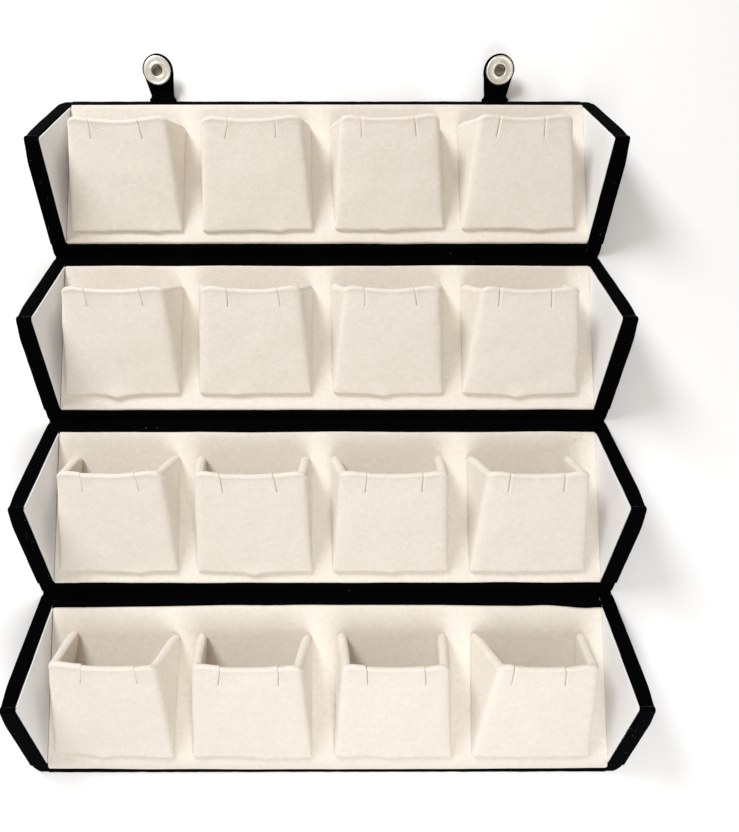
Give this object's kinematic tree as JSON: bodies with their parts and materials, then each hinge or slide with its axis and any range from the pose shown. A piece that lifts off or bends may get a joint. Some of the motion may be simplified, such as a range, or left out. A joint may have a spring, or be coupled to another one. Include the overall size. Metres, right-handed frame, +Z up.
{
  "type": "jewelry display tray",
  "caption": "Fold-up jewellery display case of velvet sections with triangular end caps, wedge pockets with slits, fabric hinges and snap straps, shown open.",
  "frame": {"origin": "on the table plane, under the centre of the outline of the case lying open on its back, straps included", "axes": "+X along the sections, +Y towards the edge with the straps, +Z up, out of the open front"},
  "size_m": [0.25, 0.3222, 0.0372],
  "materials": {
    "black_velvet": "short black velvet pile",
    "cream_velvet": "short cream velvet pile, soft",
    "lining_card": "matt pale card",
    "grey_board": "raw grey board",
    "nickel": "nickel plate, fine grained face and bright rim"
  },
  "bodies": {
    "section_1": {"section_1_back_board": "grey_board", "section_1_velvet_cover": "black_velvet", "section_1_insert": "cream_velvet", "section_1_end_cap_cores": "grey_board", "section_1_end_cap_left": "black_velvet", "section_1_lining_left": "lining_card", "section_1_end_cap_right": "black_velvet", "section_1_lining_right": "lining_card", "section_1_pocket_1": "cream_velvet", "section_1_pocket_2": "cream_velvet", "section_1_pocket_3": "cream_velvet", "section_1_pocket_4": "cream_velvet", "strap_roots": "black_velvet"},
    "section_2": {"section_2_back_board": "grey_board", "section_2_velvet_cover": "black_velvet", "section_2_insert": "cream_velvet", "section_2_end_cap_cores": "grey_board", "section_2_end_cap_left": "black_velvet", "section_2_lining_left": "lining_card", "section_2_end_cap_right": "black_velvet", "section_2_lining_right": "lining_card", "section_2_pocket_1": "cream_velvet", "section_2_pocket_2": "cream_velvet", "section_2_pocket_3": "cream_velvet", "section_2_pocket_4": "cream_velvet", "hinge_12_strip": "black_velvet", "hinge_23_strip": "black_velvet"},
    "section_3": {"section_3_back_board": "grey_board", "section_3_velvet_cover": "black_velvet", "section_3_insert": "cream_velvet", "section_3_end_cap_cores": "grey_board", "section_3_end_cap_left": "black_velvet", "section_3_lining_left": "lining_card", "section_3_end_cap_right": "black_velvet", "section_3_lining_right": "lining_card", "section_3_pocket_1": "cream_velvet", "section_3_pocket_2": "cream_velvet", "section_3_pocket_3": "cream_velvet", "section_3_pocket_4": "cream_velvet", "hinge_34_strip": "black_velvet"},
    "section_4": {"section_4_back_board": "grey_board", "section_4_velvet_cover": "black_velvet", "section_4_insert": "cream_velvet", "section_4_end_cap_cores": "grey_board", "section_4_end_cap_left": "black_velvet", "section_4_lining_left": "lining_card", "section_4_end_cap_right": "black_velvet", "section_4_lining_right": "lining_card", "section_4_pocket_1": "cream_velvet", "section_4_pocket_2": "cream_velvet", "section_4_pocket_3": "cream_velvet", "section_4_pocket_4": "cream_velvet", "snap_studs": "nickel"},
    "strap_left": {"strap_left": "black_velvet", "snap_socket_left": "nickel", "snap_rivet_left": "nickel"},
    "strap_right": {"strap_right": "black_velvet", "snap_socket_right": "nickel", "snap_rivet_right": "nickel"}
  },
  "joints": [
    {"name": "fold_12", "type": "hinge", "parent": "section_2", "child": "section_1", "pos_m": [0, 0.06681, 0], "axis": [1, 0, 0], "range_deg": [0, 90], "deforming": ["hinge_12_strip"]},
    {"name": "fold_23", "type": "hinge", "parent": "section_2", "child": "section_3", "pos_m": [0, -0.00939, 0], "axis": [-1, 0, 0], "range_deg": [0, 90], "deforming": ["hinge_23_strip"]},
    {"name": "fold_34", "type": "hinge", "parent": "section_3", "child": "section_4", "pos_m": [0, -0.08559, 0], "axis": [-1, 0, 0], "range_deg": [0, 90], "deforming": ["hinge_34_strip"]},
    {"name": "strap_left_bend", "type": "hinge", "parent": "section_1", "child": "strap_left", "pos_m": [-0.0787, 0.14396, 0.0013], "axis": [1, 0, 0], "range_deg": [-22, 64]},
    {"name": "strap_right_bend", "type": "hinge", "parent": "section_1", "child": "strap_right", "pos_m": [0.0803, 0.14396, 0.0013], "axis": [1, 0, 0], "range_deg": [-22, 64]}
  ]
}
